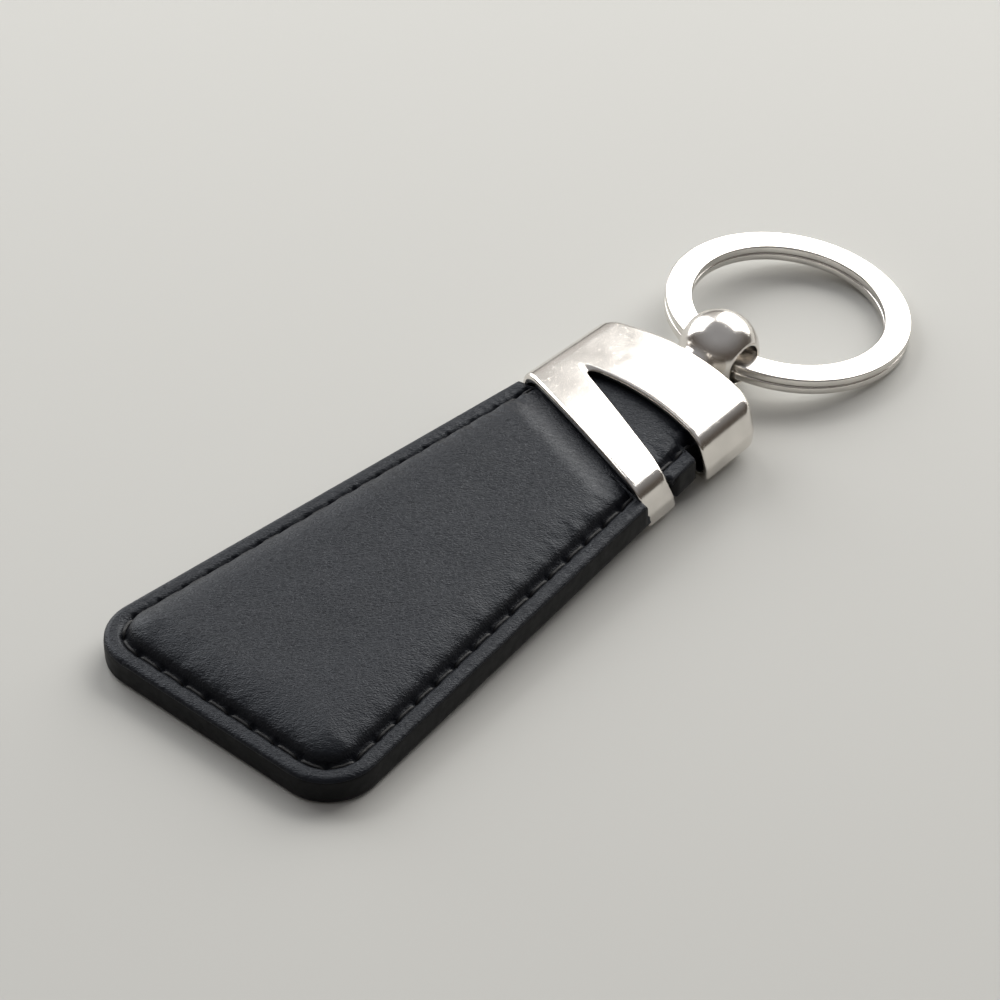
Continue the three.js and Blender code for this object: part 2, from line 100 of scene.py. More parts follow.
CAP_HALF = 12.5
CAP_FLARE = 0.038
CAP_TOP = 4.0
CAP_BOTTOM = 3.6
CAP_CROWN = 0.4
CAP_CROWN_HALF = 10.9
CAP_WALL = 0.9
CAP_CREASE = -0.7
CAP_REAR = 80.6
CAP_BOW = 38.0
POCKET_END = 77.6
FRONT_FAR = (65.2, 12.3)
FRONT_SLOPE = 0.315
SLOT_FRONT = (69.7, 6.6)
SLOT_SLOPE = 0.384
SLOT_REAR = 70.7
LEG_LEAN = 1.9
REAR_LEAN = 1.0
UPPER_SIDE_LEAN = math.atan(1.0 / 4.2)
LOWER_SIDE_LEAN = math.atan(0.35 / 2.7)
CAP_PIN_X = 73.4
CAP_PIN_Y = 7.5

BALL = 4.85
BALL_X = 86.2
BORE = 2.5
NECK = 2.3
NECK_START = CAP_REAR + 0.15

RING_OUTER = 15.0
STRIP_WIDE = 3.2
STRIP_THICK = 1.0
COIL_GAP = 0.06
CROSSOVER = math.radians(26)
RING_REACH = 13.1
RING_DROP = 0.45

# ---- where the fob and the ring lie ---------------------------------------------------------

joints = {joint["name"]: joint for joint in frame["joints"]}
ball_centre = Vector(joints["ball_swivel"]["pos_m"])
fob_axis = Vector(joints["ball_swivel"]["axis"]).normalized()
bore_axis = Vector(joints["ring_swing"]["axis"]).normalized()


def placement(along, across, start):
    turn = Matrix((along, across, along.cross(across))).transposed().to_4x4()
    return Matrix.Translation(ball_centre) @ turn @ Matrix.Translation((-start * MM, 0, 0))


def ring_direction(swing):
    """The way from the ball's centre to the ring's middle, swung down from the fob's axis."""
    return Matrix.Rotation(swing, 3, bore_axis) @ fob_axis


def ring_lowest(swing):
    """Height of the ring's lowest point above the surface, in millimetres."""
    along = ring_direction(swing)
    upright = along.cross(bore_axis).z
    under = RING_DROP + STRIP_THICK + COIL_GAP / 2
    edge = RING_REACH * along.z - RING_OUTER * math.sqrt(1 - upright**2)
    return ball_centre.z / MM + edge - under * upright


def resting_swing():
    level, folded = 0.0, math.pi / 4
    for _ in range(50):
        between = (level + folded) / 2
        if ring_lowest(between) > 0:
            level = between
        else:
            folded = between
    return level


ON_FOB = placement(fob_axis, Vector((0, 1, 0)), BALL_X)
ON_SWIVEL = placement(fob_axis, bore_axis, BALL_X)
ON_RING = placement(ring_direction(resting_swing()), bore_axis, 0)


# ---- small mathematics ----------------------------------------------------------------------


def smoothstep(low, high, value):
    share = np.clip((value - low) / (high - low), 0, 1)
    return share * share * (3 - 2 * share)


def larger(a, b, blend):
    """The larger of two fields, with a fillet about blend wide where they meet."""
    near = np.maximum(blend - np.abs(a - b), 0) / blend
    return np.maximum(a, b) + near * near * blend / 4


def smaller(a, b, blend):
    return -larger(-a, -b, blend)


def noise(x, y, seed):
    """Smooth noise from -1 to 1 with features one unit wide."""
    cell_x, cell_y = np.floor(x), np.floor(y)
    u, v = x - cell_x, y - cell_y
    u, v = u * u * (3 - 2 * u), v * v * (3 - 2 * v)

    def corner(i, j):
        value = np.sin((cell_x + i) * 127.1 + (cell_y + j) * 311.7 + seed * 74.7) * 43758.5453
        return 2 * (value - np.floor(value)) - 1

    low = corner(0, 0) * (1 - u) + corner(1, 0) * u
    high = corner(0, 1) * (1 - u) + corner(1, 1) * u
    return low * (1 - v) + high * v


# ---- meshes ---------------------------------------------------------------------------------


def make(name, points, faces, where, normals=None):
    """A smooth-shaded mesh from points in millimetres."""
    rows = np.array(where)
    world = np.asarray(points, float) * MM @ rows[:3, :3].T + rows[:3, 3]
    mesh = bpy.data.meshes.new(name)
    mesh.from_pydata(world.tolist(), [], [list(map(int, face)) for face in faces])
    mesh.validate()
    mesh.polygons.foreach_set("use_smooth", [True] * len(mesh.polygons))
    if normals is not None:
        mesh.normals_split_custom_set_from_vertices((normals @ rows[:3, :3].T).tolist())
    obj = bpy.data.objects.new(name, mesh)
    bpy.context.scene.collection.objects.link(obj)
    return obj


def loops_between(first, second, count):
    """Quads between two closed rings of count points that start at first and second."""
    i = np.arange(count)
    j = (i + 1) % count
    return np.stack([first + i, first + j, second + j, second + i], axis=1).tolist()


def slope_of(field, p, step=0.01):
    parts = []
    for axis in range(3):
        move = np.zeros(3)
        move[axis] = step
        parts.append((field(*(p + move).T) - field(*(p - move).T)) / (2 * step))
    return np.stack(parts, axis=1)


def skin(field, low, high, step):
    """Points, quads and normals of the surface where field is zero. Field is negative inside."""
    axes = [np.arange(low[i], high[i] + step, step) for i in range(3)]
    value = field(*np.meshgrid(*axes, indexing="ij"))
    inside = value < 0
    shape = np.array(value.shape) - 1
    total = np.zeros((*shape, 3))
    count = np.zeros(shape)
    crossings = []
    for axis in range(3):
        u, v = (axis + 1) % 3, (axis + 2) % 3
        here = [slice(None)] * 3
        there = [slice(None)] * 3
        here[axis], there[axis] = slice(0, -1), slice(1, None)
        a, b = inside[tuple(here)], inside[tuple(there)]
        cells = np.argwhere(a != b)
        cells = cells[np.all((cells > 0) & (cells < shape), axis=1)]
        end = cells.copy()
        end[:, axis] += 1
        first, last = value[tuple(cells.T)], value[tuple(end.T)]
        point = cells.astype(float)
        point[:, axis] += first / (first - last)
        around = []
        for du, dv in [(0, 0), (1, 0), (1, 1), (0, 1)]:
            cell = cells.copy()
            cell[:, u] -= du
            cell[:, v] -= dv
            np.add.at(total, tuple(cell.T), point)
            np.add.at(count, tuple(cell.T), 1)
            around.append(cell)
        crossings.append((around, first < 0))
    used = count > 0
    number = -np.ones(shape, int)
    number[used] = np.arange(used.sum())
    points = total[used] / count[used][:, None] * step + np.array(low)
    for _ in range(4):
        slope = slope_of(field, points)
        size = np.maximum((slope**2).sum(axis=1), 0.05)
        move = slope * (field(*points.T) / size)[:, None]
        points -= np.clip(move, -step / 3, step / 3)
    quads = []
    for around, outward in crossings:
        quad = np.stack([number[tuple(cell.T)] for cell in around], axis=1)
        quad[~outward] = quad[~outward][:, ::-1]
        quads.append(quad)
    slope = slope_of(field, points)
    slope /= np.linalg.norm(slope, axis=1)[:, None]
    return points, np.concatenate(quads).tolist(), slope


# ---- leather outline ------------------------------------------------------------------------

SLANT = math.hypot(1, TAPER)
CORNER_Y = WIDE_HALF - TAPER * CORNER - CORNER * SLANT
ARC_END = math.pi / 2 - math.atan(TAPER)
ARC_SWEEP = math.pi - ARC_END


def half_width(x, side, lean=0.0):
    """The leather's half width. It narrows under the cap's metal and swells again in its slot.

    Lean moves the steps on the near side back, to follow the leaning front faces of the cap.
    """
    arc = CORNER_Y + np.sqrt(np.maximum(CORNER**2 - (CORNER - x) ** 2, 0))
    wide = np.where(x < CORNER * (1 - math.cos(ARC_SWEEP)), arc, WIDE_HALF - TAPER * x)
    if side > 0:
        steps = [*FAR_STEP, TONGUE_END]
        halves = [UNCUT_HALF, TONGUE_ROOT_HALF, TONGUE_END_HALF]
    else:
        steps = [at + lean for at in (*NEAR_STEP, *EAR_FRONT)] + [*EAR_REAR, TONGUE_END]
        halves = [UNCUT_HALF, TONGUE_ROOT_HALF, *EAR_HALVES, TONGUE_END_HALF]
    tongue = np.interp(x, steps, halves)
    return np.where(x > steps[0], np.minimum(wide, tongue), wide)


def from_edge(x, y):
    """Distance in from the fob's straight sides, wide end and round corners."""
    y = np.abs(y)
    side = (WIDE_HALF - TAPER * x - y) / SLANT
    angle = np.arctan2(y - CORNER_Y, CORNER - x)
    in_corner = (angle > 0) & (angle < ARC_SWEEP)
    return np.where(in_corner, CORNER - np.hypot(x - CORNER, y - CORNER_Y), np.minimum(side, x))


def stations(arc_steps, pitch):
    """Places along the fob, following the corner arcs and then evenly."""
    arc = CORNER * (1 - np.cos(np.linspace(0, ARC_SWEEP, arc_steps)))
    rest = np.linspace(arc[-1], TONGUE_END, int((TONGUE_END - arc[-1]) / pitch))
    return np.concatenate([arc, rest[1:]])


def stitch_line(inset):
    """Closely spaced points of a line at an inset from the edge, and the length along it."""
    radius = CORNER - inset
    angle = np.linspace(ARC_END, math.pi, 60)
    arc_x = CORNER + radius * np.cos(angle)
    arc_y = CORNER_Y + radius * np.sin(angle)
    x = np.linspace(72, arc_x[0], 700)[:-1]
    far = np.concatenate([np.stack([x, WIDE_HALF - TAPER * x - inset * SLANT], 1),
                          np.stack([arc_x, arc_y], 1)])
    y = np.linspace(far[-1][1], -far[-1][1], 300)[1:-1]
    end = np.stack([np.full_like(y, inset), y], 1)
    near = far[::-1] * (1, -1)
    line = np.concatenate([far, end, near])
    length = np.concatenate([[0], np.cumsum(np.linalg.norm(np.diff(line, axis=0), axis=1))])
    return line, length


LINE, LENGTH = stitch_line(STITCH_INSET)
HALF_COUNT = int(LENGTH[-1] / 2 / STITCH_PITCH - 0.5)
HOLES = LENGTH[-1] / 2 + STITCH_PITCH * (np.arange(-HALF_COUNT, HALF_COUNT + 2) - 0.5)


def along_line(x, y):
    """The length along the stitch line nearest to each point."""
    out = np.empty(x.size)
    flat = np.stack([x.ravel(), y.ravel()], 1)
    coarse = LINE[::3]
    for start in range(0, len(flat), 4000):
        gap = flat[start:start + 4000, None, :] - coarse[None]
        out[start:start + 4000] = LENGTH[::3][np.argmin((gap**2).sum(axis=2), axis=1)]
    return out.reshape(x.shape)


def on_line(s):
    x = np.interp(s, LENGTH, LINE[:, 0])
    y = np.interp(s, LENGTH, LINE[:, 1])
    return x, y


def cap_front(y):
    return FRONT_FAR[0] - FRONT_SLOPE * (FRONT_FAR[1] - y)


# ---- leather surfaces -----------------------------------------------------------------------


def rolled_edge(d, drop, run):
    """How far a cut edge rolls down, at a distance in from it."""
    share = np.clip(1 - d / run, 0, 1)
    return drop * (1 - np.sqrt(1 - share * share))


def stitch_marks(x, y, d, depth):
    """The sunken line of stitches: a groove under each stitch and a hole at each end."""
    s = along_line(x, y)
    off = d - STITCH_INSET
    phase = (s - HOLES[0]) / STITCH_PITCH
    to_hole = np.abs(phase - np.round(phase)) * STITCH_PITCH
    groove = np.exp(-((off / 0.40) ** 2)) * (0.45 + 0.55 * smoothstep(0.25, 0.8, to_hole))
    hole = np.exp(-((off / 0.38) ** 2) - (to_hole / 0.46) ** 2)
    marks = -depth * groove - 1.6 * depth * hole
    marks[s <= LENGTH[3]] = 0
    return marks, s, to_hole


def front_height(x, y, t):
    d = from_edge(x, y)
    share = np.clip((d - CROWN_INSET) / CROWN_RUN, 0, 1)
    crown = CROWN_HEIGHT * np.sqrt(1 - (1 - share) ** 2.2)
    dip = smoothstep(cap_front(y) - 1 - DIP_RUN, cap_front(y) - 0.4, x)
    crown *= 1 - (1 - CAPPED_CROWN) * dip
    swell = SWELL * (noise(x / 9, y / 7, 1) + noise(x / 3.1, y / 2.3, 2) / 2)
    height = FLANGE + crown + swell * smoothstep(0.2, 1.2, crown)
    marks, s, to_hole = stitch_marks(x, y, d, STITCH_DEPTH)
    near_cap = smoothstep(34, 64, x)
    # Between stitches the crown's foot gathers into short ridges that run up its slope.
    up = d - STITCH_INSET
    gather = np.exp(-(((up - 1.0) / 0.85) ** 2)) * (1 - smoothstep(0.2, 1.5, to_hole))
    height += (GATHER[0] + GATHER[1] * near_cap) * gather
    ridges = noise(s / 0.42, up / 2.6, 3) * np.exp(-(((up - 1.3) / 1.5) ** 2))
    height += (RIDGE[0] + RIDGE[1] * near_cap) * ridges * smoothstep(0.2, 0.5, up)
    # The sewn border is pressed flat and crinkles across.
    border = (1 - smoothstep(1.6, 2.2, d)) * smoothstep(0.1, 0.6, d)
    height += (CRINKLE[0] + CRINKLE[1] * near_cap) * border * noise(s / 0.36, d / 1.5, 4)
    height += BORDER_WAVE * border * noise(s / 5.5, d / 4, 5)
    edge = np.minimum(d, t)
    return height + marks - rolled_edge(edge, *FRONT_ROLL)


def back_height(x, y, t):
    d = from_edge(x, y)
    marks, s, _ = stitch_marks(x, y, d, BACK_STITCH_DEPTH)
    waves = BACK_WAVE * noise(s / 0.6, d / 1.7, 6) * (1 - smoothstep(1.6, 2.2, d))
    height = FLANGE + waves * smoothstep(0.3, 1, d) - 0.03
    return height + marks - rolled_edge(np.minimum(d, t), *BACK_ROLL)


def left_of(loop):
    """Unit vectors to the left of a closed loop's direction of travel."""
    ahead = np.roll(loop, -1, axis=0) - np.roll(loop, 1, axis=0)
    left = np.stack([-ahead[:, 1], ahead[:, 0]], axis=1)
    return left / np.maximum(np.linalg.norm(left, axis=1), 1e-9)[:, None]


def close_inside(rim, rows, count):
    """Strips across a sheet's inner face. Its rim starts along the first row of the grid."""
    near_corner = count + rows - 2
    far_corner = near_corner + count - 1
    near_run = rim[count - 1:near_corner + 1]
    far_run = [rim[0], *rim[:far_corner:-1], rim[far_corner]]
    first = [far_run[1], near_run[1], *rim[count - 1::-1]]
    strips = [[far_run[i], far_run[i + 1], near_run[i + 1], near_run[i]]
              for i in range(1, rows - 2)]
    final = [far_run[-2], *rim[far_corner:near_corner - 1:-1], near_run[-2]]
    return [first, *strips, final]


def leather_sheet(name, height, side, lean, arc_steps, pitch, edge_columns, middle_columns):
    """A leather from its outer surface to its flat inner face. side is +1 above and -1 below."""
    x = stations(arc_steps, pitch)
    t = 0.04 + 5.3 * (np.arange(edge_columns) / edge_columns) ** 1.35
    far, near = half_width(x, 1), -half_width(x, -1, lean)
    share = np.linspace(0, 1, middle_columns + 2)[None, 1:-1]
    start, end = far[:, None] - t[-1], near[:, None] + t[-1]
    columns = [far[:, None] - t, start + (end - start) * share, near[:, None] + t[::-1]]
    grid_y = np.concatenate(columns, axis=1)
    grid_x = np.repeat(x[:, None], grid_y.shape[1], axis=1)
    gap = np.minimum(far[:, None] - grid_y, grid_y - near[:, None])
    grid_z = side * height(grid_x, grid_y, gap)
    rows, count = grid_x.shape
    index = np.arange(rows * count).reshape(rows, count)
    a, b, c, d = index[:-1, :-1], index[:-1, 1:], index[1:, 1:], index[1:, :-1]
    faces = np.stack([a, b, c, d], axis=-1).reshape(-1, 4).tolist()
    rim = np.concatenate([index[0], index[1:, -1], index[-1, -2::-1], index[-2:0:-1, 0]])
    points = np.stack([grid_x, grid_y, grid_z], axis=-1).reshape(-1, 3)
    around = points[rim][:, :2]
    inward = left_of(around)
    rings = [rim]
    for inset, z in INNER_EDGE:
        ring = np.column_stack([around + inset * inward, np.full(len(rim), side * z)])
        rings.append(np.arange(len(rim)) + len(points))
        points = np.concatenate([points, ring])
    for first, second in zip(rings, rings[1:]):
        after, below = np.roll(first, -1), np.roll(second, -1)
        faces += np.stack([after, first, second, below], axis=1).tolist()
    faces += close_inside(rings[-1].tolist(), rows, count)
    if side < 0:
        faces = [face[::-1] for face in faces]
    return make(name, points, faces, ON_FOB)


def painted_edge():
    """The board between the leathers, with the paint that seals their edges as a band round it."""
    x = stations(36, 0.6)
    far = np.stack([x, half_width(x, 1)], 1)
    near = np.stack([x, -half_width(x, -1, BOARD_LEAN)], 1)
    around = np.concatenate([near, far[::-1]])
    outward = -left_of(around)
    profile = [(-0.1, -0.55), (-0.1, -1.30), (-0.03, -1.36), (0.0, -1.25), (0.03, -0.9),
               (0.04, 0.0), (0.03, 0.9), (0.0, 1.22), (-0.03, 1.32), (-0.1, 1.28), (-0.1, 0.55)]
    count = len(around)
    points, faces = [], []
    for level, (push, z) in enumerate(profile):
        points.append(np.column_stack([around + push * outward, np.full(count, z)]))
        if level:
            faces += loops_between((level - 1) * count, level * count, count)
    rows = len(x)
    top = (len(profile) - 1) * count
    for i in range(rows - 1):
        a, b, c, d = i, i + 1, count - 2 - i, count - 1 - i
        faces.append([a, d, c, b])
        faces.append([top + a, top + b, top + c, top + d])
    return make("painted_edge", np.concatenate(points), faces, ON_FOB)


# ---- thread ---------------------------------------------------------------------------------


def stitches(name, side, level):
    """Stitches of three-ply thread, each diving into a hole at both ends."""
    sides, steps, plies = 12, 22, 3
    points, faces = [], []
    for number, start in enumerate(HOLES[:-1]):
        share = np.linspace(0, 1, steps)
        s = start + STITCH_PITCH * (0.02 + 0.96 * share)
        if s[0] < LENGTH[3] or s[-1] > LENGTH[-4]:
            continue
        x, y = on_line(s)
        ahead = np.stack([np.gradient(x), np.gradient(y)], 1)
        ahead /= np.linalg.norm(ahead, axis=1)[:, None]
        across = np.stack([-ahead[:, 1], ahead[:, 0]], 1)
        slip = 0.10 * (0.5 - share) + 0.03 * math.sin(number * 2.4)
        dive = np.abs(2 * share - 1)
        z = level - THREAD_DIVE * dive**5 + 0.02 * math.sin(number * 1.7)
        spin = 2 * math.pi * s / THREAD_LAY
        radius = THREAD * (1 - 0.18 * dive**4)
        first = len(points) * sides
        for i in range(steps):
            angle = 2 * math.pi * np.arange(sides) / sides
            lobe = radius[i] * (0.9 + 0.14 * np.abs(np.cos(plies * (angle - spin[i]) / 2)))
            centre_x = x[i] + across[i, 0] * slip[i]
            centre_y = y[i] + across[i, 1] * slip[i]
            ring = np.column_stack([
                centre_x + across[i, 0] * lobe * np.cos(angle),
                centre_y + across[i, 1] * lobe * np.cos(angle),
                side * (z[i] + lobe * np.sin(angle)),
            ])
            points.append(ring)
            if i:
                faces += loops_between(first + (i - 1) * sides, first + i * sides, sides)
        faces.append(list(range(first, first + sides))[::-1])
        faces.append(list(range(first + (steps - 1) * sides, first + steps * sides)))
    if side > 0:
        faces = [face[::-1] for face in faces]
    return make(name, np.concatenate(points), faces, ON_FOB)


# ---- end cap --------------------------------------------------------------------------------


def cap_section(y, z, x, inset):
    """The cap's section: low crowns above and below, sides leaning out to a soft crease."""
    y = np.abs(y) * CAP_HALF / (CAP_HALF + CAP_FLARE * (CAP_REAR - x))
    crown = CAP_CROWN * (y / CAP_CROWN_HALF) ** 2
    top = z - (CAP_TOP - crown)
    bottom = -z - (CAP_BOTTOM - crown)
    out, up = y - CAP_HALF, z - CAP_CREASE
    upper = out * math.cos(UPPER_SIDE_LEAN) + up * math.sin(UPPER_SIDE_LEAN)
    lower = out * math.cos(LOWER_SIDE_LEAN) - up * math.sin(LOWER_SIDE_LEAN)
    side = larger(upper, lower, 0.12)
    body = larger(larger(top, side, 2.2), bottom, 0.9)
    return body + inset


def cap_field(x, y, z):
    near = np.clip(-y / CAP_HALF, 0, 1.1) ** 1.5
    down = np.clip((CAP_TOP - 0.6 - z) / (CAP_TOP + CAP_BOTTOM - 0.6), 0, 1)
    rear = (x + y * y / (2 * CAP_BOW) - CAP_REAR) / np.hypot(1, y / CAP_BOW)
    outer = larger(cap_section(y, z, x, 0), rear, 1.3)
    front = (cap_front(y) + LEG_LEAN * near * down - x) / math.hypot(1, FRONT_SLOPE)
    pocket = larger(cap_section(y, z, x, CAP_WALL), x - POCKET_END, 0.6)
    slot_front = SLOT_FRONT[0] - SLOT_SLOPE * (SLOT_FRONT[1] - y) + LEG_LEAN * 1.05 * near * down
    slot_rear = SLOT_REAR - y * y / (2 * CAP_BOW) + REAR_LEAN * near * down
    slot = larger((slot_front - x) / math.hypot(1, SLOT_SLOPE), x - slot_rear, 1.5)
    solid = larger(outer, front, 0.5)
    solid = larger(solid, -pocket, 0.3)
    return larger(solid, -slot, 0.55)


def end_cap():
    low = (54.5, -14.6, -4.4)
    high = (81.6, 14.6, 4.8)
    points, faces, normals = skin(cap_field, low, high, 0.26)
    return make("cast_cap", points, faces, ON_FOB, normals)


def cap_pin(name, side):
    """A pin's slightly domed end, set in the back of the cap."""
    profile = [(0.0, -0.7), (0.8, -0.7), (0.8, -3.2), (0.72, -3.3), (0.45, -3.38), (0.0, -3.42)]
    return turned(name, profile, (CAP_PIN_X, side * CAP_PIN_Y), 32)


def turned(name, profile, centre, sides):
    angle = 2 * math.pi * np.arange(sides) / sides
    points, faces = [], []
    for radius, z in profile[1:-1]:
        ring = [centre[0] + radius * np.cos(angle), centre[1] + radius * np.sin(angle),
                np.full(sides, z)]
        points.append(np.stack(ring, axis=1))
    for i in range(len(points) - 1):
        faces += [face[::-1] for face in loops_between(i * sides, (i + 1) * sides, sides)]
    faces.append(list(range(sides)))
    faces.append(list(range((len(points) - 1) * sides, len(points) * sides))[::-1])
    return make(name, np.concatenate(points), faces, ON_FOB)


# ---- ball and ring --------------------------------------------------------------------------


def ball_field(x, y, z):
    ball = np.sqrt((x - BALL_X) ** 2 + y * y + z * z) - BALL
    neck = larger(np.hypot(y, z) - NECK, x - BALL_X, 0.4)
    neck = larger(neck, NECK_START - x, 0.2)
    body = smaller(ball, neck, 0.7)
    bore = np.hypot(x - BALL_X, z) - BORE
    return larger(body, -bore, 0.5)


def ball_link():
    low = (CAP_REAR - 0.5, -5.6, -5.6)
    high = (BALL_X + 5.6, 5.6, 5.6)
    points, faces, normals = skin(ball_field, low, high, 0.17)
    return make("ball_with_bore", points, faces, ON_SWIVEL, normals)


def split_ring():
    """One flat strip with eased corners, wound twice, crossing over inside the ball."""
    steps, ease, corner_steps = 420, 0.2, 4
    level = (STRIP_THICK + COIL_GAP) / 2
    section = []
    for cx, cz, start in [(1, 1, 0), (-1, 1, 90), (-1, -1, 180), (1, -1, 270)]:
        for i in range(corner_steps + 1):
            angle = math.radians(start + 90 * i / corner_steps)
            section.append((cx * (STRIP_WIDE / 2 - ease) + ease * math.cos(angle),
                            cz * (STRIP_THICK / 2 - ease) + ease * math.sin(angle)))
    section = np.array(section)
    middle = RING_OUTER - STRIP_WIDE / 2
    turn = CROSSOVER / 2 + (4 * math.pi - CROSSOVER) * np.arange(steps + 1) / steps
    lift = level * (2 * smoothstep(-0.5, 0.5, (turn - 2 * math.pi) / CROSSOVER) - 1)
    count = len(section)
    points, faces = [], []
    for i in range(steps + 1):
        r = middle + section[:, 0]
        points.append(np.column_stack([
            RING_REACH - r * math.cos(turn[i]),
            -r * math.sin(turn[i]),
            section[:, 1] + lift[i] - RING_DROP,
        ]))
        if i:
            faces += loops_between((i - 1) * count, i * count, count)
    faces.append(list(range(count))[::-1])
    faces.append(list(range(steps * count, (steps + 1) * count)))
    faces = [face[::-1] for face in faces]
    return make("flat_split_ring", np.concatenate(points), faces, ON_RING)


# ---- materials ------------------------------------------------------------------------------


def new_material(name):
    material = bpy.data.materials.new(name)
    material.use_nodes = True
    tree = material.node_tree
    return material, tree, tree.nodes["Principled BSDF"]


def add(tree, kind, **values):
    node = tree.nodes.new(kind)
    for key, value in values.items():
        if hasattr(node, key):
            setattr(node, key, value)
        else:
            node.inputs[key.replace("_", " ")].default_value = value
    return node


def stretched(tree, scale):
    """Object coordinates scaled by a different amount along each axis."""
    place = add(tree, "ShaderNodeTexCoord")
    mapping = add(tree, "ShaderNodeMapping")
    mapping.inputs["Scale"].default_value = scale
    tree.links.new(place.outputs["Object"], mapping.inputs["Vector"])
    return mapping.outputs["Vector"]


def texture(tree, vector, kind, output, **values):
    node = add(tree, kind, **values)
    tree.links.new(vector, node.inputs["Vector"])
    return node.outputs[output]


def ranged(tree, value, low, high, from_low=0.0, from_high=1.0):
    node = add(tree, "ShaderNodeMapRange")
    node.inputs["From Min"].default_value = from_low
    node.inputs["From Max"].default_value = from_high
    node.inputs["To Min"].default_value = low
    node.inputs["To Max"].default_value = high
    tree.links.new(value, node.inputs["Value"])
    return node.outputs["Result"]


def ramp(tree, value, stops):
    node = add(tree, "ShaderNodeValToRGB")
    elements = node.color_ramp.elements
    while len(elements) < len(stops):
        elements.new(0.5)
    for element, (position, colour) in zip(elements, stops):
        element.position = position
        element.color = (*colour, 1)
    tree.links.new(value, node.inputs["Fac"])
    return node.outputs["Color"]


def bumps(tree, shader, layers):
    """Bump layers, each a height and a depth in metres, one on top of another."""
    normal = None
    for height, depth in layers:
        node = add(tree, "ShaderNodeBump", Strength=1.0, Distance=depth)
        tree.links.new(height, node.inputs["Height"])
        if normal is not None:
            tree.links.new(normal, node.inputs["Normal"])
        normal = node.outputs["Normal"]
    tree.links.new(normal, shader.inputs["Normal"])


def warped(tree, vector, amount, scale):
    """A vector pushed about by noise, so that cells and creases wander."""
    push = texture(tree, vector, "ShaderNodeTexNoise", "Color", Scale=scale, Detail=2.0)
    mix = add(tree, "ShaderNodeMix", data_type="RGBA", blend_type="LINEAR_LIGHT")
    mix.inputs["Factor"].default_value = amount
    tree.links.new(vector, mix.inputs["A"])
    tree.links.new(push, mix.inputs["B"])
    return mix.outputs["Result"]


def turned_about(tree, vector, angle):
    """A vector turned about Z."""
    node = add(tree, "ShaderNodeVectorRotate", rotation_type="Z_AXIS")
    node.inputs["Angle"].default_value = angle
    tree.links.new(vector, node.inputs["Vector"])
    return node.outputs["Vector"]


def scaled(tree, vector, scale):
    mapping = add(tree, "ShaderNodeMapping")
    mapping.inputs["Scale"].default_value = scale
    tree.links.new(vector, mapping.inputs["Vector"])
    return mapping.outputs["Vector"]


def leather_material(name, depth):
    """Black leather: small wavy pebbles that lie aslant, pores, and soft cloudy wear."""
    material, tree, shader = new_material(name)
    even = stretched(tree, (1000, 1000, 1000))
    aslant = scaled(tree, turned_about(tree, even, math.radians(47)), (1.7, 3.4, 2.4))
    wandering = warped(tree, aslant, 0.9, 0.55)
    cells = texture(tree, wandering, "ShaderNodeTexVoronoi", "Distance",
                    feature="DISTANCE_TO_EDGE", Scale=1.0)
    pebbles = ranged(tree, cells, 0.0, 1.0, 0.0, 0.30)
    creases = texture(tree, wandering, "ShaderNodeTexNoise", "Fac", Scale=0.62, Detail=3.0,
                      Roughness=0.55)
    folds = texture(tree, wandering, "ShaderNodeTexNoise", "Fac", Scale=0.16, Detail=2.0)
    pores = texture(tree, even, "ShaderNodeTexNoise", "Fac", Scale=7.0, Detail=3.0)
    clouds = texture(tree, even, "ShaderNodeTexNoise", "Fac", Scale=0.12, Detail=3.0)
    colour = ramp(tree, clouds, [(0.3, (0.0036, 0.0042, 0.0066)), (0.7, (0.0058, 0.0066, 0.0100))])
    tree.links.new(colour, shader.inputs["Base Color"])
    tree.links.new(ranged(tree, creases, 0.38, 0.50, 0.3, 0.7), shader.inputs["Roughness"])
    shader.inputs["Specular IOR Level"].default_value = 0.3
    shader.inputs["Specular Tint"].default_value = (0.86, 0.92, 1.0, 1)
    bumps(tree, shader, [(folds, depth * 1.6), (creases, depth * 2.4), (pebbles, depth),
                         (pores, depth * 0.3)])
    return material


def paint_material():
    material, tree, shader = new_material("edge paint")
    even = stretched(tree, (1000, 1000, 1000))
    waves = texture(tree, even, "ShaderNodeTexNoise", "Fac", Scale=0.9, Detail=3.0)
    tone = texture(tree, even, "ShaderNodeTexNoise", "Fac", Scale=0.25, Detail=2.0)
    colour = ramp(tree, tone, [(0.3, (0.0026, 0.0028, 0.0034)), (0.7, (0.0042, 0.0045, 0.0054))])
    tree.links.new(colour, shader.inputs["Base Color"])
    tree.links.new(ranged(tree, waves, 0.5, 0.65, 0.3, 0.7), shader.inputs["Roughness"])
    shader.inputs["Specular IOR Level"].default_value = 0.22
    bumps(tree, shader, [(waves, 4e-5)])
    return material


def thread_material():
    material, tree, shader = new_material("waxed black thread")
    even = stretched(tree, (1000, 1000, 1000))
    fibres = texture(tree, even, "ShaderNodeTexNoise", "Fac", Scale=9.0, Detail=3.0)
    colour = ramp(tree, fibres, [(0.3, (0.003, 0.003, 0.0035)), (0.7, (0.007, 0.007, 0.008))])
    tree.links.new(colour, shader.inputs["Base Color"])
    tree.links.new(ranged(tree, fibres, 0.48, 0.65, 0.3, 0.7), shader.inputs["Roughness"])
    bumps(tree, shader, [(fibres, 2e-5)])
    return material


